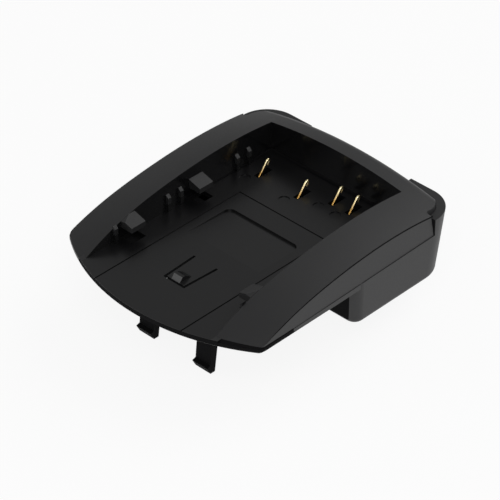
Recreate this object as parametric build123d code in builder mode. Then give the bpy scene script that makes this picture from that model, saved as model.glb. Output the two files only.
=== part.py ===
import os
from math import atan2, degrees, sqrt

from build123d import *

os.makedirs("parts", exist_ok=True)

# Overall body, millimetres: front lip at -Y, contacts at +Y, leg tips on Z = 0
width = 68.8
length = 83.8
lip_radius = 60.0
front_corner = 2.5
rear_corner = 9.0
floor_z = 22.2
floor_thickness = 1.4
wall = 1.8
draft = 5.5

# Domed rim: distance from the lip or from the back, height above the bay floor
rim_front = [(5.95, 1.9), (18.75, 7.15), (35.95, 10.4)]
rim_rear = [(25.65, 11.8), (10.15, 10.8), (5.4, 10.1)]
crown_radius = 140.0
rim_thickness = 1.8
rear_round = 3.5

# Battery bay, its lengths measured from the back wall
bay_width = 46.0
rear_rim = 9.95
bay_wall = 1.6
panel_width = 31.0
panel_gap = 19.65
groove_width = 0.4
groove_depth = 0.25

# Parting between the shells, measured from the bay floor
parting_front = -0.65
parting_back = 0.8
seam_gap = 0.1

# Rear box and the two raised corners of the lower shell
box_length = 39.4
box_depth = 12.4
box_lean = 3.3
box_front_corner = 3.0
box_edge = 1.5
ear_height = 5.4
ear_gap = 35.3
ear_length = 9.7
ear_wall = 1.8
plate_thickness = 1.2

# Side hooks, guide ribs and floor pocket of the bay
hook_from_lip = [21.0, 45.4]
hook_length = 4.9
hook_reach = 4.0
hook_top = 5.9
hook_slope = 1.2
hook_thickness = 1.5
rib_from_lip = [16.2, 35.1, 39.6]
rib_from_wall = [13.35, 8.95]
rib_width = 1.1
rib_reach = 0.9
rib_height = 5.2
pocket_width = 25.0
pocket_gap = 26.55
pocket_run = 15.0
pocket_depth = 0.6
pocket_corner = 2.0

# Latch tongue and its catch
tongue_tip = 15.25
tongue_length = 10.8
tongue_tip_width = 6.0
tongue_root_width = 7.2
tongue_slot = 0.7
catch_width = 2.9
catch_height = 1.25
catch_ramp = 1.05
catch_land = 0.9
catch_fall = 2.2

# Battery contacts: position across, distance of the foot from the bay's back wall
contact_places = [(-17.1, 10.6), (-3.0, 10.6), (5.4, 6.4), (11.3, 6.4)]
contact_wire = 0.8
contact_leg_length = 3.75
contact_bend = 0.6
contact_rise = 45.0
contact_turn = 160.0
contact_tail_back = 0.5
contact_tail = 0.6
contact_return = 3.4
slot_width = 1.7
slot_lead = 1.3
slot_length = 5.2
dimple_diameter = 3.2
dimple_depth = 0.25
dimple_offset = (-1.8, -3.65)

# Circuit board and its parts
board_size = (45.0, 25.0)
board_thickness = 1.6
board_drop = 5.4
board_from_back = 9.4
board_hole_gap = 0.1
post_diameter = 5.0
post_spread = (40.0, 17.0)
board_screw = 2.0
board_screw_head = 3.6
board_screw_head_height = 1.2
board_screw_length = 5.0
board_screw_gap = 0.05

fuse_place = (-9.5, 3.0)
fuse_size = (7.0, 5.0, 1.6)
diode_place = (15.5, 0.0)
diode_size = (4.4, 2.6, 2.2)
capacitor_place = (0.0, -9.0)
capacitor_diameter = 5.0
capacitor_height = 3.4
resistor_places = [(-8.0, -9.0), (8.0, -9.0)]
resistor_size = (3.2, 1.6, 0.6)
chip_edge = 0.4

# Flat terminals under the rear box
terminal_pitch = 7.0
terminal_width = 3.2
terminal_length = 10.0
terminal_thickness = 0.5
terminal_recess = 0.8
terminal_gap = 0.15
terminal_from_back = 22.0
terminal_tail = 1.6
terminal_stub = 0.6

# Snap legs
leg_spread = 20.3
leg_width = 5.3
leg_from_lip = 16.2
leg_root = 2.6
leg_tip = 1.6
leg_lean = 1.7
barb_reach = 1.2
barb_height = 2.6
barb_drop = 0.4

# Housing screws: position across, distance from the lip at the front and from the back at the rear
screw_diameter = 2.4
screw_length = 5.0
screw_head = 4.6
screw_head_height = 1.2
screw_head_gap = 0.2
drive_width = 0.8
drive_depth = 0.6
screw_hole_gap = 0.2
boss_diameter = 6.0
lower_boss = 8.0
front_screw = (29.0, 24.2)
rear_screw = (28.0, 9.15)
rear_screw_seat = 2.0

# Places that follow from the sizes
front_y = -length / 2
back_y = length / 2
half = width / 2
arc_y = front_y + lip_radius
side_y = arc_y - sqrt(lip_radius**2 - half**2)
bay_back = back_y - rear_rim
ear_y = back_y - ear_length
floor_bottom = floor_z - floor_thickness
box_front = back_y - box_length
box_bottom = floor_z - box_depth
ear_top = floor_z + ear_height
plate_bottom = floor_bottom - plate_thickness
bay_block = bay_width + 2 * bay_wall
board_top = floor_z - board_drop
board_bottom = board_top - board_thickness
board_y = back_y - board_from_back - board_size[1] / 2
parting_slope = degrees(atan2(parting_back - parting_front, length))
parting = Plane((0, 0, floor_z + (parting_front + parting_back) / 2)).rotated((parting_slope, 0, 0))
terminal_y = back_y - terminal_from_back
tail_y = terminal_y - terminal_length / 2 + terminal_thickness / 2
terminal_x = [terminal_pitch * (n - 1.5) for n in range(4)]
tall = 60.0
rim_profile = [(front_y + d, h) for d, h in rim_front] + [(back_y - d, h) for d, h in rim_rear]
rim_peak = max(h for y, h in rim_profile)
contact_feet = [(x, bay_back - d) for x, d in contact_places]
rib_y = [front_y + d for d in rib_from_lip] + [bay_back - d for d in rib_from_wall]
front_screws = [(side * front_screw[0], front_y + front_screw[1]) for side in (-1, 1)]
rear_screws = [(side * rear_screw[0], back_y - rear_screw[1]) for side in (-1, 1)]
screw_spots = front_screws + rear_screws
post_x, post_y = post_spread[0] / 2, post_spread[1] / 2
board_holes = [(sx * post_x, board_y + sy * post_y) for sx in (-1, 1) for sy in (-1, 1)]


def shell_outline(inset):
    """Plan of the upper shell: bowed lip, straight sides, rear corners stepped in by inset."""
    with BuildSketch(mode=Mode.PRIVATE) as plan:
        with BuildLine():
            RadiusArc((-half, side_y), (half, side_y), -lip_radius)
            Polyline((half, side_y), (half, ear_y), (half - inset, ear_y), (half - inset, back_y - inset),
                     (inset - half, back_y - inset), (inset - half, ear_y), (-half, ear_y), (-half, side_y))
        make_face()
        fillet(plan.vertices().group_by(Axis.Y)[0], front_corner)
        fillet(plan.vertices().group_by(Axis.Y)[-1], rear_corner - inset)
    return plan.sketch


def box_outline(back, inset):
    """Plan of the rear box with its back wall at back, moved inwards by inset."""
    depth = back - box_front - 2 * inset
    with BuildSketch(mode=Mode.PRIVATE) as plan:
        with Locations((0, box_front + inset + depth / 2)):
            Rectangle(width - 2 * inset, depth)
        fillet(plan.vertices().group_by(Axis.Y)[0], box_front_corner - inset)
        fillet(plan.vertices().group_by(Axis.Y)[-1], rear_corner - inset)
    return plan.sketch


def crown(drop):
    """Body under the rim surface: the side profile turned about a long axis far below it."""
    with BuildPart(mode=Mode.PRIVATE) as dome:
        with BuildSketch(Plane.YZ):
            with BuildLine():
                top = Spline(*[(y, floor_z + h - drop) for y, h in rim_profile])
                end = top % 1
                turn = JernArc(top @ 1, end, rear_round, -90 - degrees(atan2(end.Y, end.X)))
                low = floor_z - 3 * floor_thickness
                Polyline(turn @ 1, ((turn @ 1).X, low), ((top @ 0).X, low), top @ 0)
            make_face()
        axis = Axis((0, 0, floor_z + rim_peak - crown_radius), (0, 1, 0))
        revolve(axis=axis, revolution_arc=20)
        mirror(about=Plane.YZ)
    return dome.part


with BuildPart() as top_housing:
    with BuildSketch(Plane.XY.offset(floor_bottom)):
        add(shell_outline(ear_wall + seam_gap))
    extrude(amount=2 * rim_peak, taper=draft)
    add(crown(0), mode=Mode.INTERSECT)
    with BuildPart(mode=Mode.PRIVATE) as hollow:
        with BuildSketch(Plane.XY.offset(floor_bottom)):
            add(shell_outline(ear_wall + seam_gap))
            offset(amount=-wall, kind=Kind.INTERSECTION)
        extrude(amount=2 * rim_peak, taper=draft)
        add(crown(rim_thickness), mode=Mode.INTERSECT)
        with Locations((0, bay_back + bay_wall, floor_z)):
            Box(bay_block, 2 * length, tall, align=(Align.CENTER, Align.MAX, Align.CENTER),
                mode=Mode.SUBTRACT)
        with Locations(*[(x, y, floor_z) for x, y in screw_spots]):
            Cylinder(boss_diameter / 2, tall, mode=Mode.SUBTRACT)
    add(hollow.part, mode=Mode.SUBTRACT)
    split(bisect_by=parting, keep=Keep.TOP)
    with BuildSketch(Plane.XY.offset(floor_bottom)):
        add(shell_outline(ear_wall + seam_gap))
        with Locations((0, bay_back + bay_wall)):
            Rectangle(bay_block, 2 * length, align=(Align.CENTER, Align.MAX), mode=Mode.INTERSECT)
    extrude(amount=floor_thickness)
    with Locations((0, bay_back, floor_z)):
        Box(bay_width, 2 * length, tall, align=(Align.CENTER, Align.MAX, Align.MIN), mode=Mode.SUBTRACT)

    # Side hooks cut to the rim surface, with a moulding window under each
    for side in (-1, 1):
        for d in hook_from_lip:
            inner = bay_width / 2 - hook_reach
            with BuildPart(mode=Mode.PRIVATE) as hook:
                with BuildSketch(Plane.XZ.offset(-front_y - d)):
                    low = floor_z + hook_top - hook_slope - hook_thickness
                    Polygon((side * inner, low), (side * inner, low + hook_thickness),
                            (side * bay_width / 2, floor_z + hook_top), (side * bay_width / 2, low), align=None)
                extrude(amount=hook_length / 2, both=True)
                add(crown(0), mode=Mode.INTERSECT)
            add(hook.part)
            with Locations((side * (inner + hook_reach / 2), front_y + d, floor_z)):
                Box(hook_reach, hook_length, 2 * floor_thickness, mode=Mode.SUBTRACT)
        for y in rib_y:
            with BuildSketch(Plane.XZ.offset(-y)):
                edge = bay_width / 2
                Polygon((side * edge, floor_z), (side * (edge - rib_reach), floor_z),
                        (side * (edge - rib_reach), floor_z + rib_height - rib_reach),
                        (side * edge, floor_z + rib_height), align=None)
            extrude(amount=rib_width / 2, both=True)

    # Witness grooves round the middle panel, and the shallow pocket that runs out to the front
    with BuildSketch(Plane.XY.offset(floor_z - groove_depth)):
        with Locations((0, bay_back - panel_gap)):
            Rectangle(panel_width, 2 * length, align=(Align.CENTER, Align.MAX))
            Rectangle(panel_width - 2 * groove_width, 2 * length, align=(Align.CENTER, Align.MAX),
                      mode=Mode.SUBTRACT)
        with Locations((0, bay_back - panel_gap)):
            Rectangle(panel_width, groove_width, align=(Align.CENTER, Align.MAX))
    extrude(amount=groove_depth, mode=Mode.SUBTRACT)
    with BuildPart(mode=Mode.PRIVATE) as pocket:
        with BuildSketch(Plane.XY.offset(floor_z - pocket_depth)) as plan:
            with Locations((0, bay_back - pocket_gap)):
                Rectangle(pocket_width, pocket_run, align=(Align.CENTER, Align.MAX))
            fillet(plan.vertices().group_by(Axis.Y)[-1], pocket_corner)
        extrude(amount=2 * pocket_depth)
        with BuildSketch(Plane.YZ):
            back = bay_back - pocket_gap
            Polygon((back, floor_z - pocket_depth), (back, floor_z + pocket_depth),
                    (back - pocket_run, floor_z + pocket_depth), (back - pocket_run, floor_z), align=None)
        extrude(amount=pocket_width, both=True, mode=Mode.INTERSECT)
    add(pocket.part, mode=Mode.SUBTRACT)

    # Latch tongue, free at the front, and the catch on it
    tip = front_y + tongue_tip
    root = tip + tongue_length
    with BuildSketch(Plane.XY.offset(floor_bottom)):
        outer_tip = tongue_tip_width / 2 + tongue_slot
        outer_root = tongue_root_width / 2 + tongue_slot
        Polygon((-outer_tip, tip - tongue_slot), (outer_tip, tip - tongue_slot), (outer_root, root),
                (-outer_root, root), align=None)
        Polygon((-tongue_tip_width / 2, tip), (tongue_tip_width / 2, tip), (tongue_root_width / 2, root),
                (-tongue_root_width / 2, root), align=None, mode=Mode.SUBTRACT)
    extrude(amount=floor_thickness, mode=Mode.SUBTRACT)
    with BuildSketch(Plane.YZ):
        Polygon((tip, floor_z), (tip + catch_ramp, floor_z + catch_height),
                (tip + catch_ramp + catch_land, floor_z + catch_height),
                (tip + catch_ramp + catch_land + catch_fall, floor_z), align=None)
    extrude(amount=catch_width / 2, both=True)

    # Contact slots with a round mark in front of each
    for x, y in contact_feet:
        with Locations((x, y - slot_lead, floor_z)):
            Box(slot_width, slot_length, 2 * floor_thickness, align=(Align.CENTER, Align.MIN, Align.CENTER),
                mode=Mode.SUBTRACT)
        with Locations((x + dimple_offset[0], y + dimple_offset[1], floor_z)):
            Cylinder(dimple_diameter / 2, 2 * dimple_depth, mode=Mode.SUBTRACT)
    with Locations(*[(x, y, floor_z + parting_front) for x, y in screw_spots]):
        Cylinder(screw_diameter / 2 + board_screw_gap, screw_length - screw_head_gap, mode=Mode.SUBTRACT,
                 align=(Align.CENTER, Align.CENTER, Align.MIN))

with BuildPart() as bottom_housing:
    with BuildSketch(Plane.XY.offset(box_bottom)):
        add(box_outline(back_y - box_lean, 0))
    with BuildSketch(Plane.XY.offset(ear_top)):
        add(box_outline(back_y, 0))
    loft()
    fillet(bottom_housing.faces().sort_by(Axis.Z)[0].edges(), box_edge)
    with BuildSketch(Plane.XY.offset(floor_bottom), mode=Mode.PRIVATE) as plate:
        add(shell_outline(ear_wall))
        with Locations((0, box_front + wall)):
            Rectangle(2 * width, 2 * length, align=(Align.CENTER, Align.MAX), mode=Mode.INTERSECT)
    extrude(plate.sketch, amount=2 * floor_thickness)
    extrude(plate.sketch, amount=-plate_thickness, taper=45)
    with BuildPart(mode=Mode.PRIVATE) as room:
        with BuildSketch(Plane.XY.offset(box_bottom)):
            add(box_outline(back_y - box_lean, wall))
        with BuildSketch(Plane.XY.offset(ear_top)):
            add(box_outline(back_y, wall))
        loft()
        with Locations((0, 0, box_bottom)):
            Box(2 * width, 2 * length, wall, align=(Align.CENTER, Align.CENTER, Align.MIN),
                mode=Mode.SUBTRACT)
        with Locations(*[(x, y, 0) for x, y in rear_screws]):
            Cylinder(lower_boss / 2, 2 * tall, mode=Mode.SUBTRACT)
        with Locations(*[(x, y, 0) for x, y in board_holes]):
            Cylinder(post_diameter / 2, board_bottom, align=(Align.CENTER, Align.CENTER, Align.MIN),
                     mode=Mode.SUBTRACT)
        split(bisect_by=parting, keep=Keep.BOTTOM)
    add(room.part, mode=Mode.SUBTRACT)
    # Everything above the parting goes, except the two raised corners
    with BuildPart(mode=Mode.PRIVATE) as above:
        with Locations(parting):
            Box(2 * width, 2 * length, tall, align=(Align.CENTER, Align.CENTER, Align.MIN))
        for side in (-1, 1):
            with Locations((side * (ear_gap / 2 + half), ear_y + seam_gap + half, floor_z)):
                Box(width, width, tall, mode=Mode.SUBTRACT)
        with BuildSketch(Plane.XY.offset(floor_bottom)):
            add(shell_outline(ear_wall))
        extrude(amount=2 * rim_peak, taper=draft)
        split(bisect_by=parting, keep=Keep.TOP)
    add(above.part, mode=Mode.SUBTRACT)

    # Seat for the bay floor, room for the tongue to dip
    with Locations((0, bay_back + bay_wall + seam_gap, floor_bottom)):
        Box(bay_block + 2 * seam_gap, 2 * length, tall, align=(Align.CENTER, Align.MAX, Align.MIN),
            mode=Mode.SUBTRACT)
    with Locations((0, tip - 2 * tongue_slot, floor_z)):
        Box(tongue_root_width + 4 * tongue_slot, tongue_length + 2 * tongue_slot, tall,
            align=(Align.CENTER, Align.MIN, Align.MAX), mode=Mode.SUBTRACT)

    # Snap legs: a tapering strip that leans forward, with a barb on its front
    leg_y = front_y + leg_from_lip
    leg_top = floor_bottom - plate_thickness / 2
    barb_y = leg_y - leg_lean
    with BuildSketch(*[Plane.YZ.offset(side * leg_spread / 2) for side in (-1, 1)]):
        Polygon((leg_y, leg_top), (barb_y, barb_height), (barb_y - barb_reach, barb_height - barb_drop),
                (barb_y, 0), (barb_y + leg_tip, 0), (leg_y + leg_root, leg_top), align=None)
    extrude(amount=leg_width / 2, both=True)

    # Screw holes from below, wide for the head and then close to the shank
    for x, y in screw_spots:
        seat = floor_z - rear_screw_seat if y > box_front else plate_bottom + screw_head_height
        with Locations((x, y, seat)):
            Cylinder(screw_head / 2 + screw_head_gap, tall, align=(Align.CENTER, Align.CENTER, Align.MAX),
                     mode=Mode.SUBTRACT)
            Cylinder(screw_diameter / 2 + screw_hole_gap, tall, mode=Mode.SUBTRACT,
                     align=(Align.CENTER, Align.CENTER, Align.MIN))

    # Board posts are drilled for their screws; each terminal has a shallow bed and a slot for its tail
    with Locations(*[(x, y, board_bottom) for x, y in board_holes]):
        Cylinder(board_screw / 2 + board_screw_gap, board_screw_length - board_thickness + screw_head_gap,
                 align=(Align.CENTER, Align.CENTER, Align.MAX), mode=Mode.SUBTRACT)
    for x in terminal_x:
        with Locations((x, terminal_y, box_bottom)):
            Box(terminal_width + 2 * terminal_gap, terminal_length + 2 * terminal_gap, 2 * terminal_recess,
                mode=Mode.SUBTRACT)
        with Locations((x, tail_y, box_bottom)):
            Box(terminal_tail + 2 * terminal_gap, terminal_thickness + 2 * terminal_gap, 3 * wall,
                mode=Mode.SUBTRACT)

bottom_housing.part.label = "bottom_housing"
export_step(bottom_housing.part, "parts/bottom_housing.step")

# Four wire springs of one shape: tail in the board, leaning leg, round nose, short return
for number, (x, foot) in enumerate(contact_feet, 1):
    with BuildPart() as battery_contact:
        with BuildLine(Plane.YZ.offset(x)) as run:
            tail = foot - contact_tail_back
            nose = PolarLine((foot, floor_z), contact_leg_length, contact_rise, mode=Mode.PRIVATE) @ 1
            leg = FilletPolyline((tail, board_bottom - contact_tail), (tail, floor_z - contact_tail_back),
                                 (nose.Y, nose.Z), radius=contact_bend)
            turn = JernArc(leg @ 1, leg % 1, contact_bend, -contact_turn)
            Line(turn @ 1, turn @ 1 + contact_return * (turn % 1))
        with BuildSketch(Plane(run.line @ 0, z_dir=run.line % 0)):
            Circle(contact_wire / 2)
        sweep()
    battery_contact.part.label = f"battery_contact_{number}"
    export_step(battery_contact.part, f"parts/battery_contact_{number}.step")

with BuildPart() as circuit_board:
    with BuildSketch(Plane.XY.offset(board_bottom)):
        with Locations((0, board_y)):
            Rectangle(*board_size)
        with Locations(*board_holes):
            Circle(board_screw / 2 + screw_hole_gap, mode=Mode.SUBTRACT)
        with Locations(*[(x, y - contact_tail_back) for x, y in contact_feet]):
            Circle(contact_wire / 2 + board_hole_gap, mode=Mode.SUBTRACT)
        with Locations(*[(x, tail_y) for x in terminal_x]):
            Rectangle(terminal_tail + 2 * board_hole_gap, terminal_thickness + 2 * board_hole_gap,
                      mode=Mode.SUBTRACT)
    extrude(amount=board_thickness)
circuit_board.part.label = "circuit_board"
export_step(circuit_board.part, "parts/circuit_board.step")

# Flat terminals: a pad in its bed under the box and a tail up through the board
for number, x in enumerate(terminal_x, 1):
    with BuildPart() as base_terminal:
        with Locations((x, terminal_y, box_bottom + terminal_recess)):
            Box(terminal_width, terminal_length, terminal_thickness,
                align=(Align.CENTER, Align.CENTER, Align.MAX))
        with Locations((x, tail_y, box_bottom + terminal_recess - terminal_thickness)):
            Box(terminal_tail, terminal_thickness,
                board_top + terminal_stub - box_bottom - terminal_recess + terminal_thickness,
                align=(Align.CENTER, Align.CENTER, Align.MIN))
    base_terminal.part.label = f"base_terminal_{number}"
    export_step(base_terminal.part, f"parts/base_terminal_{number}.step")

with BuildPart() as resettable_fuse:
    with Locations((fuse_place[0], board_y + fuse_place[1], board_top)):
        Box(*fuse_size, align=(Align.CENTER, Align.CENTER, Align.MIN))
    chamfer(resettable_fuse.edges().filter_by(Axis.Z), chip_edge)
resettable_fuse.part.label = "resettable_fuse"
export_step(resettable_fuse.part, "parts/resettable_fuse.step")

with BuildPart() as blocking_diode:
    with Locations((diode_place[0], board_y + diode_place[1], board_top)):
        Box(*diode_size, align=(Align.CENTER, Align.CENTER, Align.MIN))
    chamfer(blocking_diode.faces().sort_by(Axis.Z)[-1].edges(), chip_edge)
blocking_diode.part.label = "blocking_diode"
export_step(blocking_diode.part, "parts/blocking_diode.step")

with BuildPart() as filter_capacitor:
    with Locations((capacitor_place[0], board_y + capacitor_place[1], board_top)):
        Cylinder(capacitor_diameter / 2, capacitor_height, align=(Align.CENTER, Align.CENTER, Align.MIN))
    fillet(filter_capacitor.faces().sort_by(Axis.Z)[-1].edges(), chip_edge)
filter_capacitor.part.label = "filter_capacitor"
export_step(filter_capacitor.part, "parts/filter_capacitor.step")

for number, (x, y) in enumerate(resistor_places, 1):
    with BuildPart() as sense_resistor:
        with Locations((x, board_y + y, board_top)):
            Box(*resistor_size, align=(Align.CENTER, Align.CENTER, Align.MIN))
    sense_resistor.part.label = f"sense_resistor_{number}"
    export_step(sense_resistor.part, f"parts/sense_resistor_{number}.step")

with BuildPart() as board_screws:
    with Locations(*[(x, y, board_top) for x, y in board_holes]):
        Cylinder(board_screw_head / 2, board_screw_head_height,
                 align=(Align.CENTER, Align.CENTER, Align.MIN))
        Cylinder(board_screw / 2, board_screw_length, align=(Align.CENTER, Align.CENTER, Align.MAX))
    with Locations(*[(x, y, board_top + board_screw_head_height) for x, y in board_holes]):
        Box(board_screw_head, drive_width, 2 * drive_depth, mode=Mode.SUBTRACT)
board_screws.part.label = "board_screws"
export_step(board_screws.part, "parts/board_screws.step")

with BuildPart() as housing_screws:
    for x, y in screw_spots:
        seat = floor_z - rear_screw_seat if y > box_front else plate_bottom + screw_head_height
        with Locations((x, y, seat)):
            Cylinder(screw_head / 2, screw_head_height, align=(Align.CENTER, Align.CENTER, Align.MAX))
            Cylinder(screw_diameter / 2, screw_length, align=(Align.CENTER, Align.CENTER, Align.MIN))
        with Locations((x, y, seat - screw_head_height)):
            Box(2 * drive_depth + screw_diameter, drive_width, 2 * drive_depth, mode=Mode.SUBTRACT)
            Box(drive_width, 2 * drive_depth + screw_diameter, 2 * drive_depth, mode=Mode.SUBTRACT)
housing_screws.part.label = "housing_screws"
export_step(housing_screws.part, "parts/housing_screws.step")

top_housing.part.label = "top_housing"
export_step(top_housing.part, "parts/top_housing.step")
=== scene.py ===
# %% [markdown]
# A camera battery charger plate: a flat black plastic adapter with an open bay for a camera
# battery, four gold wire contacts at the back of the bay, two snap legs under the front and a
# shallow box under the rear that plugs onto a charger base. The solids come from the imported CAD
# part and keep their exact shape. This scene gives them their finishes, the light and the camera,
# draws the contacts again as smooth wire, and paints the fine line of shade along the rim as a thin dark
# strip.
# One unit is one metre, +Z is up, the front lip points to -Y and the leg tips stand on Z = 0.

# %% Load the imported part
import math

import bpy
import numpy as np
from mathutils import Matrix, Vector


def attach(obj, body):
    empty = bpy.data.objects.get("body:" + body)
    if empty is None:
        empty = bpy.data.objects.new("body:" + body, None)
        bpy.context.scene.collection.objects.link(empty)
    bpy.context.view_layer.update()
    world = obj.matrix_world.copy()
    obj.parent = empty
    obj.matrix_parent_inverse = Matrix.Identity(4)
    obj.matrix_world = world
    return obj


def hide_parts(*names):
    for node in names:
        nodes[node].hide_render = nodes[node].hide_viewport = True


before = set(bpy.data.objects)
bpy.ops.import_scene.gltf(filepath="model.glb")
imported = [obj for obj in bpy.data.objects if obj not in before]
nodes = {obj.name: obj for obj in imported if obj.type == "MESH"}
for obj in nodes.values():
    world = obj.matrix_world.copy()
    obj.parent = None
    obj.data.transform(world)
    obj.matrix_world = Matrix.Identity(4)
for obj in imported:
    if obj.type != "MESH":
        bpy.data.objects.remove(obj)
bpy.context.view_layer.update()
MM = 0.001

# %% [markdown]
# The photograph looks down on the right front corner from about seventy centimetres, with a long
# lens and no roll. The camera stands on a line through an aim point inside the bay, given by its
# azimuth and elevation, so the numbers read like a photographer's notes.

# %% Camera
AIM = Vector((9.87, -10.10, 28.11)) * MM
AZIMUTH = math.radians(44.13)
ELEVATION = math.radians(36.43)
CAMERA_DISTANCE = 0.700
LENS_MM, SENSOR_MM = 201.6, 36.0
NEAR_CLIP = 0.01

towards_camera = Vector((
    math.sin(AZIMUTH) * math.cos(ELEVATION),
    -math.cos(AZIMUTH) * math.cos(ELEVATION),
    math.sin(ELEVATION),
))
camera = bpy.data.objects.new("camera", bpy.data.cameras.new("camera"))
camera.data.sensor_width = SENSOR_MM
camera.data.lens = LENS_MM
camera.data.clip_start = NEAR_CLIP
camera.location = AIM + CAMERA_DISTANCE * towards_camera
camera.rotation_mode = "QUATERNION"
camera.rotation_quaternion = (-towards_camera).to_track_quat("-Z", "Y")
bpy.context.scene.collection.objects.link(camera)
bpy.context.scene.camera = camera
bpy.context.scene.view_settings.view_transform = "Standard"
print("camera at mm:", [round(v / MM) for v in camera.location])

# %% [markdown]
# Colours are written as the sRGB hex values that a paint chart would give, and Blender wants
# linear light, so one function converts them. A second small function adds a shader node, sets
# its properties and fills or links its sockets, which keeps each material to a few plain lines.
# A Mix node has sockets of the same name for numbers and for colours, so those are named by place.


# %% Colour and node helpers
NUMBER_A, NUMBER_B, COLOUR_A, COLOUR_B = 2, 3, 6, 7
NUMBER_OUT, COLOUR_OUT = 0, 2


def linear(hex_colour):
    """Linear RGBA of an sRGB hex colour: each channel through the sRGB decoding curve."""
    channels = [int(hex_colour[i : i + 2], 16) / 255 for i in (1, 3, 5)]
    return (*[c / 12.92 if c <= 0.04045 else ((c + 0.055) / 1.055) ** 2.4 for c in channels], 1.0)


def add_node(tree, kind, inputs=None, **settings):
    """Add a shader node, set its properties, and give its sockets a value or a link."""
    made = tree.nodes.new(kind)
    for name, value in settings.items():
        setattr(made, name, value)
    for socket, value in (inputs or {}).items():
        if isinstance(value, bpy.types.NodeSocket):
            tree.links.new(value, made.inputs[socket])
        else:
            made.inputs[socket].default_value = value
    return made


def new_finish(name):
    """An empty material with its shader, and the object coordinates that its patterns read."""
    finish = bpy.data.materials.new(name)
    finish.use_nodes = True
    tree = finish.node_tree
    tree.nodes.clear()
    shader = add_node(tree, "ShaderNodeBsdfPrincipled")
    add_node(tree, "ShaderNodeOutputMaterial", {"Surface": shader.outputs["BSDF"]})
    place = add_node(tree, "ShaderNodeTexCoord").outputs["Object"]
    return finish, tree, shader, place


def dress(finish, *names):
    """Put one finish on CAD nodes, in place of the plain material they were packed with."""
    for name in names:
        nodes[name].data.materials.clear()
        nodes[name].data.materials.append(finish)
    print(finish.name, "on", ", ".join(names))


# %% [markdown]
# The background of the photograph is plain white. A wide paper floor fills the whole view because
# the camera looks down. For the eye and for reflections the paper is lifted most of the way to pure
# white with the Light Path node, so the shadow under the part stays, but soft and pale.

# %% Floor
FLOOR_SIZE = 6.0
PAPER_LIFT = 0.89
floor_mesh = bpy.data.meshes.new("floor")
corner = FLOOR_SIZE / 2
floor_mesh.from_pydata(
    [(-corner, -corner, 0), (corner, -corner, 0), (corner, corner, 0), (-corner, corner, 0)],
    [], [(0, 1, 2, 3)],
)
floor = bpy.data.objects.new("floor", floor_mesh)
bpy.context.scene.collection.objects.link(floor)
paper, paper_tree, paper_shader, _ = new_finish("white_paper_sweep")
paper_shader.inputs["Base Color"].default_value = linear("#f7f7f7")
paper_shader.inputs["Roughness"].default_value = 0.9
paper_shader.inputs["Specular IOR Level"].default_value = 0.2
ray = add_node(paper_tree, "ShaderNodeLightPath")
seen = add_node(
    paper_tree, "ShaderNodeMath",
    {0: ray.outputs["Is Camera Ray"], 1: ray.outputs["Is Glossy Ray"]}, operation="MAXIMUM",
)
seen = add_node(
    paper_tree, "ShaderNodeMath",
    {0: seen.outputs[0], 1: ray.outputs["Is Transmission Ray"]}, operation="MAXIMUM",
)
lift = add_node(
    paper_tree, "ShaderNodeMath", {0: seen.outputs[0], 1: PAPER_LIFT}, operation="MULTIPLY"
)
glow = add_node(paper_tree, "ShaderNodeEmission", {"Color": linear("#ffffff"), "Strength": 1.0})
paper_mix = add_node(
    paper_tree, "ShaderNodeMixShader",
    {0: lift.outputs[0], 1: paper_shader.outputs["BSDF"], 2: glow.outputs["Emission"]},
)
paper_out = next(n for n in paper_tree.nodes if n.type == "OUTPUT_MATERIAL")
paper_tree.links.new(paper_mix.outputs[0], paper_out.inputs["Surface"])
floor.data.materials.append(paper)
print("floor:", FLOOR_SIZE, "m wide,", paper.name)

# %% [markdown]
# A black part is lit by what it reflects. The world is a dim studio tent, a little lighter towards
# the horizon, which the polished bay floor mirrors as dark grey. A softbox behind the part brightens
# the rear of the rim and the hooks, a low one at the front left lights faces that turn to the front,
# and a third one on the camera's side lights the paper and the right-hand walls. All of them are
# turned to the part, which stands at the origin.

# %% Light
HORIZON_LEVEL, TENT_LEVEL, HORIZON_BAND = 0.5, 0.3, 0.5
world = bpy.data.worlds.new("studio")
bpy.context.scene.world = world
world.use_nodes = True
sky = world.node_tree
sky.nodes.clear()
sky_direction = add_node(sky, "ShaderNodeTexCoord").outputs["Generated"]
sky_height = add_node(sky, "ShaderNodeSeparateXYZ", {0: sky_direction}).outputs["Z"]
sky_level = add_node(
    sky, "ShaderNodeMapRange",
    {"Value": sky_height, "From Min": 0.0, "From Max": HORIZON_BAND,
     "To Min": HORIZON_LEVEL, "To Max": TENT_LEVEL},
)
sky_light = add_node(
    sky, "ShaderNodeBackground",
    {"Color": linear("#ffffff"), "Strength": sky_level.outputs["Result"]},
)
add_node(sky, "ShaderNodeOutputWorld", {"Surface": sky_light.outputs["Background"]})


def soft_lamp(name, size, watts, place):
    """A square area lamp of that size in metres at a place, turned towards the origin."""
    lamp = bpy.data.objects.new(name, bpy.data.lights.new(name, "AREA"))
    lamp.data.shape = "SQUARE"
    lamp.data.size = size
    lamp.data.energy = watts
    lamp.location = place
    lamp.rotation_mode = "QUATERNION"
    lamp.rotation_quaternion = (-Vector(place)).to_track_quat("-Z", "Y")
    bpy.context.scene.collection.objects.link(lamp)


soft_lamp("rear_softbox", 1.0, 6.0, (0.25, 0.95, 0.95))
soft_lamp("front_left_fill", 0.6, 1.6, (-0.75, -1.05, 0.5))
soft_lamp("camera_side_fill", 1.0, 10.5, (0.85, -0.8, 1.1))
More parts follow.
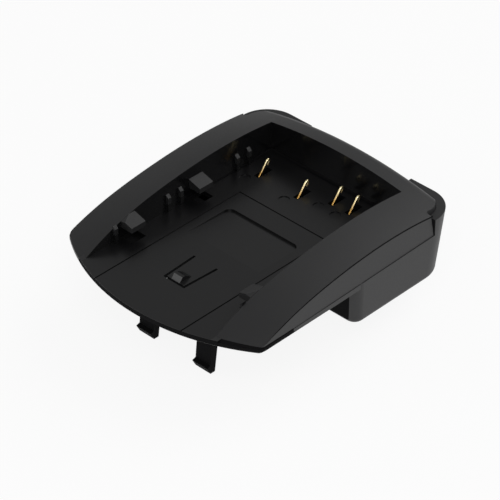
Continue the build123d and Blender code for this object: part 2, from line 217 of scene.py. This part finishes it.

# %% [markdown]
# Both shells are moulded ABS, coloured black. The outside of the tool was spark-eroded, which
# leaves a fine even grain that scatters light to a soft dark grey. The battery bay was polished
# so that a battery slides in, and the hooks and ribs in it kept the grain. The holes, the slots
# round the tongue, the parting edge at the lip and the underside with the legs are left dull,
# because nobody finishes them. The bay and these dull zones are also painted a darker black, and
# the dull zones lose most of their gloss. This is painted shade, for the shade deep in the bay, in
# the holes and slots and under the plate. Each zone is a set of boxes, in millimetres of Object
# coordinates.

# %% Zones of the shells
BAY = ((-23.03, -45.0, 20.5), (23.03, 31.98, 40.0))
BAY_TRIM = ((-22.9, -45.0, 24.7), (22.9, 31.9, 28.4))
BAY_HOLES = ((-24.8, -45.0, 20.5), (24.8, 33.8, 21.5))
TONGUE_SLOTS = ((-4.6, -27.6, 20.5), (4.6, -15.2, 22.15))
LIP_EDGE = ((-24.7, -45.0, 19.0), (36.0, -20.0, 22.15))
UNDERSIDE = ((-34.2, -45.0, -1.0), (34.2, 2.6, 20.7))
BAY_FLOOR = 22.2
EDGE_WIDTH = 0.001


def box_mask(tree, place, *boxes):
    """One where the distance to any of the boxes is nil, so inside it, and zero elsewhere."""
    mask = 0.0
    for low, high in boxes:
        centre = [(a + b) / 2 * MM for a, b in zip(low, high)]
        half = [(b - a) / 2 * MM for a, b in zip(low, high)]
        offset = add_node(tree, "ShaderNodeVectorMath", {0: place, 1: centre}, operation="SUBTRACT")
        reach = add_node(tree, "ShaderNodeVectorMath", {0: offset.outputs[0]}, operation="ABSOLUTE")
        beyond = add_node(
            tree, "ShaderNodeVectorMath", {0: reach.outputs[0], 1: half}, operation="SUBTRACT"
        )
        outside = add_node(
            tree, "ShaderNodeVectorMath", {0: beyond.outputs[0], 1: (0, 0, 0)}, operation="MAXIMUM"
        )
        distance = add_node(tree, "ShaderNodeVectorMath", {0: outside.outputs[0]}, operation="LENGTH")
        inside = add_node(
            tree, "ShaderNodeMath", {0: distance.outputs["Value"], 1: EDGE_WIDTH * MM},
            operation="LESS_THAN",
        )
        either = add_node(
            tree, "ShaderNodeMath", {0: inside.outputs[0], 1: mask}, operation="MAXIMUM"
        )
        mask = either.outputs[0]
    return mask


print("bay floor at mm:", BAY_FLOOR)

# %% [markdown]
# The polished bay has blurred reflections, and its walls are smoother than its worn floor; its
# deeper black is painted shade. On the grain the light breaks up over a fine bump, and a slow cloud
# keeps large faces from looking flat. The dull zones are painted darker and hardly mirror anything,
# which paints the shade in them.

# %% Moulded ABS
GRAIN_MM, CLOUD_MM, GRAIN_DEPTH_MM = 0.35, 14.0, 0.02
MATT_ROUGH, BAY_ROUGH, DULL_ROUGH = (0.4, 0.56), (0.28, 0.2), 0.8
BAY_ROUGH_FROM, BAY_ROUGH_TO = 0.1, 0.4
GLOSS, DULL_SHADED_GLOSS = 0.5, 0.08
GRAIN_BUMP, POLISHED_BUMP = 0.5, 0.05
ABS_IOR = 1.53


def moulded_abs(name, polished_and_shaded, grained, dull_and_shaded):
    """Black ABS with a spark-eroded grain, smoother in some boxes, grained again or matt in others;
    painted darker as shade in the smoother and the matt boxes, and the matt ones also lose most of their
    gloss.
    """
    finish, tree, shader, place = new_finish(name)
    grain = add_node(
        tree, "ShaderNodeTexNoise",
        {"Vector": place, "Scale": 1 / (GRAIN_MM * MM), "Detail": 2.0, "Roughness": 0.6},
    )
    cloud = add_node(
        tree, "ShaderNodeTexNoise", {"Vector": place, "Scale": 1 / (CLOUD_MM * MM), "Detail": 3.0}
    )
    polish_and_shade = add_node(
        tree, "ShaderNodeMath",
        {0: box_mask(tree, place, *polished_and_shaded), 1: box_mask(tree, place, *grained)},
        operation="SUBTRACT", use_clamp=True,
    ).outputs[0]
    shade = box_mask(tree, place, *dull_and_shaded)
    tone = add_node(
        tree, "ShaderNodeMix",
        {"Factor": cloud.outputs["Fac"], COLOUR_A: linear("#161617"), COLOUR_B: linear("#1c1c1d")},
        data_type="RGBA",
    )
    # Painted shade: the bay and the dull zones take a darker black, for the shade deep in the bay, in the
    # holes and slots and under the plate.
    dark = add_node(tree, "ShaderNodeMath", {0: polish_and_shade, 1: shade}, operation="MAXIMUM")
    colour = add_node(
        tree, "ShaderNodeMix",
        {"Factor": dark.outputs[0], COLOUR_A: tone.outputs[COLOUR_OUT], COLOUR_B: linear("#0c0c0d")},
        data_type="RGBA",
    )
    matt = add_node(
        tree, "ShaderNodeMapRange",
        {"Value": grain.outputs["Fac"], "To Min": MATT_ROUGH[0], "To Max": MATT_ROUGH[1]},
    )
    height = add_node(tree, "ShaderNodeSeparateXYZ", {0: place}).outputs["Z"]
    smooth = add_node(
        tree, "ShaderNodeMapRange",
        {"Value": height, "From Min": (BAY_FLOOR + BAY_ROUGH_FROM) * MM,
         "From Max": (BAY_FLOOR + BAY_ROUGH_TO) * MM, "To Min": BAY_ROUGH[0], "To Max": BAY_ROUGH[1]},
    )
    rough = add_node(
        tree, "ShaderNodeMix",
        {"Factor": polish_and_shade, NUMBER_A: matt.outputs["Result"], NUMBER_B: smooth.outputs["Result"]},
    )
    rough = add_node(
        tree, "ShaderNodeMix",
        {"Factor": shade, NUMBER_A: rough.outputs[NUMBER_OUT], NUMBER_B: DULL_ROUGH},
    )
    # Painted shade: the dull zones lose most of their gloss, so the shaded underside mirrors little of the
    # white paper.
    gloss = add_node(
        tree, "ShaderNodeMapRange", {"Value": shade, "To Min": GLOSS, "To Max": DULL_SHADED_GLOSS}
    )
    depth = add_node(
        tree, "ShaderNodeMapRange", {"Value": polish_and_shade, "To Min": GRAIN_BUMP, "To Max": POLISHED_BUMP}
    )
    bump = add_node(
        tree, "ShaderNodeBump",
        {"Strength": depth.outputs["Result"], "Distance": GRAIN_DEPTH_MM * MM,
         "Height": grain.outputs["Fac"]},
    )
    tree.links.new(colour.outputs[COLOUR_OUT], shader.inputs["Base Color"])
    tree.links.new(rough.outputs[NUMBER_OUT], shader.inputs["Roughness"])
    tree.links.new(gloss.outputs["Result"], shader.inputs["Specular IOR Level"])
    tree.links.new(bump.outputs["Normal"], shader.inputs["Normal"])
    shader.inputs["IOR"].default_value = ABS_IOR
    return finish


upper_dull_and_shaded = [BAY_HOLES, TONGUE_SLOTS, LIP_EDGE]
lower_dull_and_shaded = [BAY_HOLES, LIP_EDGE, UNDERSIDE]
dress(moulded_abs("moulded_abs_upper_shell", [BAY], [BAY_TRIM], upper_dull_and_shaded), "top_housing")
dress(moulded_abs("moulded_abs_lower_shell", [], [], lower_dull_and_shaded), "bottom_housing")

# %% [markdown]
# Two things on the part are one outline carried along a line: the painted shade strip under the rim
# and the wire of the contacts. Both are rings of points, one behind the other, so one function turns
# rings into a closed mesh. It works on whole arrays, and the piece then rides on the part.


# %% Rings to a piece
def carry(name, rings, finish):
    """A closed mesh through rings of points: each is joined to the next, and both ends are filled."""
    ring_count, around, _ = rings.shape
    here = np.arange(ring_count * around).reshape(ring_count, around)
    beside = np.roll(here, -1, axis=1)
    sides = np.stack([here[:-1], beside[:-1], beside[1:], here[1:]], axis=-1).reshape(-1, 4)
    ends = [here[0, ::-1].tolist(), here[-1].tolist()]
    mesh = bpy.data.meshes.new(name)
    mesh.from_pydata(rings.reshape(-1, 3).tolist(), [], sides.tolist() + ends)
    mesh.materials.append(finish)
    piece = bpy.data.objects.new(name, mesh)
    bpy.context.scene.collection.objects.link(piece)
    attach(piece, "root")
    print(name, "faces:", len(mesh.polygons))
    return piece


# %% [markdown]
# Where the domed rim meets the side walls, the mould leaves a narrow step that is always in its own
# shade, so the eye sees a fine dark line. The rim is a long curve turned about an axis far below, and
# the side wall leans in by its draft. Their meeting line is found by trying a height, taking the
# wall's place at that height, and reading the rim's height there again, a few times over. That line
# of shade is painted: a thin dark strip, with the darker colour and low gloss of painted shade, lies
# just below that line, sunk into the wall and a hair proud of it, and it fades out towards the front.

# %% Shadow step
RIM_DISTANCE = np.array([5.95, 18.75, 35.95, 58.15, 73.65, 78.4])
RIM_HEIGHT = np.array([1.9, 7.15, 10.4, 11.8, 10.8, 10.1])
LIP_Y, HALF_WIDTH, WALL_FOOT = -41.9, 34.4, 20.8
CROWN_RADIUS = 140.0
CROWN_CENTRE = BAY_FLOOR + RIM_HEIGHT.max() - CROWN_RADIUS
DRAFT = math.tan(math.radians(5.5))
STEP_FRONT, STEP_REAR, STEP_SECTIONS = -29.6, 32.0, 120
STEP_HEIGHT, STEP_RUN_OUT, STEP_PROUD, STEP_SUNK = 0.42, 6.0, 0.02, 0.2
STEP_BELOW_RIM, STEP_LEAST_SHARE = 0.06, 0.1
FIRST_TRY, TRIES = 28.0, 6
WHOLE_PART = ((-40.0, -45.0, 0.0), (40.0, 45.0, 40.0))

step_y = np.linspace(STEP_FRONT, STEP_REAR, STEP_SECTIONS)
rim_curve = BAY_FLOOR + np.polyval(np.polyfit(RIM_DISTANCE, RIM_HEIGHT, 5), step_y - LIP_Y)
step_z = np.full_like(step_y, FIRST_TRY)
for _ in range(TRIES):
    wall_x = HALF_WIDTH - DRAFT * (step_z - WALL_FOOT)
    step_z = CROWN_CENTRE + np.sqrt((rim_curve - CROWN_CENTRE) ** 2 - wall_x**2)
step_share = np.clip((step_y - STEP_FRONT) / STEP_RUN_OUT + STEP_LEAST_SHARE, 0.0, 1.0)
step_upper = step_z - STEP_BELOW_RIM
step_lower = step_upper - STEP_HEIGHT * step_share
# Painted shade: this finish is darker and nearly without gloss all over, so the strip reads as the line of
# shade under the rim.
painted_shade_finish = moulded_abs("moulded_abs_in_shade", [], [], [WHOLE_PART])
for side, side_name in ((-1, "left"), (1, "right")):
    upper_x = side * (HALF_WIDTH - DRAFT * (step_upper - WALL_FOOT))
    lower_x = side * (HALF_WIDTH - DRAFT * (step_lower - WALL_FOOT))
    far = STEP_PROUD if side > 0 else STEP_SUNK
    near = STEP_SUNK if side > 0 else STEP_PROUD
    corners = [(upper_x + far, step_upper), (lower_x + far, step_lower),
               (lower_x - near, step_lower), (upper_x - near, step_upper)]
    step_rings = np.stack([np.stack([x, step_y, z], axis=-1) for x, z in corners], axis=1)
    carry(f"rim_painted_shade_strip_{side_name}", step_rings * MM, painted_shade_finish)

# %% [markdown]
# The contacts are springy bronze wire with a thin gold plating: a warm, bright metal, nearly white
# where it mirrors a lamp and brown where it mirrors the dark bay. Gold keeps most red and green light
# and less blue. Its colour is painted pale, almost white, at the nose, a painted highlight, and a
# deeper brown down the leg, a painted shade. Faint drawing marks change how sharp the reflections are.

# %% Gold-plated wire
# Painted highlight and shade: between these heights the gold colour turns from a shaded brown to a pale
# highlight.
PAINTED_HIGHLIGHT_FROM, PAINTED_HIGHLIGHT_TO = 22.6, 25.4
DRAWING_MM, GOLD_ROUGH = 0.4, (0.06, 0.14)
gold, gold_tree, gold_shader, gold_place = new_finish("gold_plated_wire")
drawing = add_node(
    gold_tree, "ShaderNodeTexNoise",
    {"Vector": gold_place, "Scale": 1 / (DRAWING_MM * MM), "Detail": 2.0},
)
gold_height = add_node(gold_tree, "ShaderNodeSeparateXYZ", {"Vector": gold_place})
painted_highlight = add_node(
    gold_tree, "ShaderNodeMapRange",
    {"Value": gold_height.outputs["Z"], "From Min": PAINTED_HIGHLIGHT_FROM * MM, "From Max": PAINTED_HIGHLIGHT_TO * MM},
)
# Painted light: a deep brown as painted shade on the leg, a near-white gold as painted highlight on the
# nose.
gold_tone = add_node(
    gold_tree, "ShaderNodeMix",
    {"Factor": painted_highlight.outputs["Result"], COLOUR_A: linear("#b89050"), COLOUR_B: linear("#fff0c0")},
    data_type="RGBA",
)
gold_rough = add_node(
    gold_tree, "ShaderNodeMapRange",
    {"Value": drawing.outputs["Fac"], "To Min": GOLD_ROUGH[0], "To Max": GOLD_ROUGH[1]},
)
gold_tree.links.new(gold_tone.outputs[COLOUR_OUT], gold_shader.inputs["Base Color"])
gold_tree.links.new(gold_rough.outputs["Result"], gold_shader.inputs["Roughness"])
gold_shader.inputs["Metallic"].default_value = 1.0
print(gold.name, "rubbed bright above mm:", PAINTED_HIGHLIGHT_FROM)

# %% [markdown]
# The wire comes up out of the board, leans back, turns over in a round nose and ends just below it.
# A small bright wire shows every facet, so it is drawn smooth here in place of the CAD solid. Its
# path is a heading that stays the same on the straights and changes evenly in the bends. Adding up
# short steps along that heading gives the path, and a circle carried along it gives the wire. The
# circle shrinks over the last radius at both ends, which rounds them off.

# %% Contact springs
CONTACT_FEET = [(-17.1, 21.35), (-3.0, 21.35), (5.4, 25.55), (11.3, 25.55)]
WIRE_RADIUS, TAIL_BACK, TAIL_END = 0.4, 0.5, 14.6
WIRE_SECTIONS, END_SECTIONS, WIRE_SIDES, END_LEAST = 160, 9, 24, 0.02
# Length in millimetres and turn in degrees of the tail, bend, leg, nose and return
WIRE_RUN = [(6.35, 0.0), (0.4, -38.0), (5.09, 0.0), (1.37, -175.0), (1.2, 0.0)]

run_length = np.cumsum([0.0] + [length for length, _ in WIRE_RUN])
run_heading = np.radians(90.0 + np.cumsum([0.0] + [turn for _, turn in WIRE_RUN]))
wire_end = run_length[-1]
end_steps = np.linspace(0, WIRE_RADIUS, END_SECTIONS)
along = np.unique(
    np.concatenate([np.linspace(0, wire_end, WIRE_SECTIONS), end_steps, wire_end - end_steps])
)
middle = (along[1:] + along[:-1]) / 2
step_heading = np.interp(middle, run_length, run_heading)
step_direction = np.stack([np.cos(step_heading), np.sin(step_heading)], axis=1)
path = np.zeros((len(along), 2))
path[1:] = np.cumsum(np.diff(along)[:, None] * step_direction, axis=0)
heading = np.interp(along, run_length, run_heading)
from_end = np.clip(np.minimum(along, wire_end - along) / WIRE_RADIUS, END_LEAST, 1.0)
thickness = WIRE_RADIUS * np.sqrt(1 - (1 - from_end) ** 2)
turn_round = np.linspace(0, 2 * np.pi, WIRE_SIDES, endpoint=False)
lift_off = thickness[:, None] * np.cos(turn_round)
sideways = thickness[:, None] * np.sin(turn_round)
for number, (foot_x, foot_y) in enumerate(CONTACT_FEET, 1):
    wire_rings = np.stack([
        foot_x + sideways,
        foot_y - TAIL_BACK + path[:, :1] - np.sin(heading)[:, None] * lift_off,
        TAIL_END + path[:, 1:] + np.cos(heading)[:, None] * lift_off,
    ], axis=-1)
    spring = carry(f"contact_spring_{number}", wire_rings * MM, gold)
    spring.data.shade_smooth()
    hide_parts(f"battery_contact_{number}")

# %% [markdown]
# The flat terminals under the box are nickel plated: a cool metal with long rolling lines in its tone
# and its roughness. The screws are zinc plated steel, greyer and cloudier.

# %% Nickel and zinc
def plated_metal(name, dark, light, grain_mm, stretch, rough_low, rough_high):
    """Plated metal: a noise, stretched along Y by a factor, moves its colour and its roughness."""
    finish, tree, shader, place = new_finish(name)
    lines = add_node(tree, "ShaderNodeMapping", {"Vector": place, "Scale": (1.0, 1.0 / stretch, 1.0)})
    streak = add_node(
        tree, "ShaderNodeTexNoise",
        {"Vector": lines.outputs["Vector"], "Scale": 1 / (grain_mm * MM), "Detail": 4.0, "Roughness": 0.6},
    )
    tone = add_node(
        tree, "ShaderNodeMix",
        {"Factor": streak.outputs["Fac"], COLOUR_A: linear(dark), COLOUR_B: linear(light)},
        data_type="RGBA",
    )
    rough = add_node(
        tree, "ShaderNodeMapRange",
        {"Value": streak.outputs["Fac"], "To Min": rough_low, "To Max": rough_high},
    )
    tree.links.new(tone.outputs[COLOUR_OUT], shader.inputs["Base Color"])
    tree.links.new(rough.outputs["Result"], shader.inputs["Roughness"])
    shader.inputs["Metallic"].default_value = 1.0
    return finish


terminals = [f"base_terminal_{number}" for number in range(1, 5)]
dress(plated_metal("nickel_plate", "#a8a39a", "#d8d3c8", 0.2, 12.0, 0.18, 0.36), *terminals)
zinc = plated_metal("zinc_plated_steel", "#8f9296", "#c3c6ca", 0.6, 1.0, 0.28, 0.48)
dress(zinc, "board_screws", "housing_screws")

# %% [markdown]
# The board is glass-fibre laminate under a green solder mask. The weave of the glass, about half a
# millimetre wide, shows through the mask as a faint grid, and the mask itself is glossy.

# %% Circuit board
WEAVE_MM, MOTTLE_MM, MASK_ROUGH = 0.5, 3.0, (0.2, 0.34)
laminate, board_tree, board_shader, board_place = new_finish("solder_masked_glass_laminate")
weave = add_node(
    board_tree, "ShaderNodeTexChecker", {"Vector": board_place, "Scale": 1 / (WEAVE_MM * MM)}
)
mottle = add_node(
    board_tree, "ShaderNodeTexNoise",
    {"Vector": board_place, "Scale": 1 / (MOTTLE_MM * MM), "Detail": 3.0},
)
board_cell = add_node(
    board_tree, "ShaderNodeMix",
    {"Factor": weave.outputs["Fac"], COLOUR_A: linear("#0f4023"), COLOUR_B: linear("#134a29")},
    data_type="RGBA",
)
board_tone = add_node(
    board_tree, "ShaderNodeMix",
    {"Factor": mottle.outputs["Fac"], COLOUR_A: board_cell.outputs[COLOUR_OUT],
     COLOUR_B: linear("#0c3a20")},
    data_type="RGBA",
)
board_rough = add_node(
    board_tree, "ShaderNodeMapRange",
    {"Value": mottle.outputs["Fac"], "To Min": MASK_ROUGH[0], "To Max": MASK_ROUGH[1]},
)
board_tree.links.new(board_tone.outputs[COLOUR_OUT], board_shader.inputs["Base Color"])
board_tree.links.new(board_rough.outputs["Result"], board_shader.inputs["Roughness"])
dress(laminate, "circuit_board")

# %% [markdown]
# The small parts on the board: an amber fuse and a black diode in filled epoxy, two resistors with
# a dark glaze, and an aluminium can. Filled epoxy is dull and finely speckled by its quartz powder;
# the drawn can is bright with soft cloudy patches of wear.

# %% Parts on the board
SPECKLE_MM = 0.12


def filled_epoxy(name, dark, light, rough_low, rough_high):
    """Epoxy with mineral powder: fine speckles between two colours, rougher where it is lighter."""
    finish, tree, shader, place = new_finish(name)
    speckle = add_node(
        tree, "ShaderNodeTexNoise", {"Vector": place, "Scale": 1 / (SPECKLE_MM * MM), "Detail": 3.0}
    )
    tone = add_node(
        tree, "ShaderNodeMix",
        {"Factor": speckle.outputs["Fac"], COLOUR_A: linear(dark), COLOUR_B: linear(light)},
        data_type="RGBA",
    )
    rough = add_node(
        tree, "ShaderNodeMapRange",
        {"Value": speckle.outputs["Fac"], "To Min": rough_low, "To Max": rough_high},
    )
    tree.links.new(tone.outputs[COLOUR_OUT], shader.inputs["Base Color"])
    tree.links.new(rough.outputs["Result"], shader.inputs["Roughness"])
    return finish


dress(filled_epoxy("amber_fuse_epoxy", "#b57a14", "#d49a34", 0.4, 0.55), "resettable_fuse")
dress(filled_epoxy("black_epoxy", "#17171a", "#2a2a2e", 0.5, 0.65), "blocking_diode")
ceramic = filled_epoxy("glazed_ceramic", "#101014", "#1d1d22", 0.15, 0.3)
dress(ceramic, "sense_resistor_1", "sense_resistor_2")
aluminium = plated_metal("drawn_aluminium", "#a9abad", "#dcdee0", 0.8, 1.0, 0.22, 0.4)
dress(aluminium, "filter_capacitor")
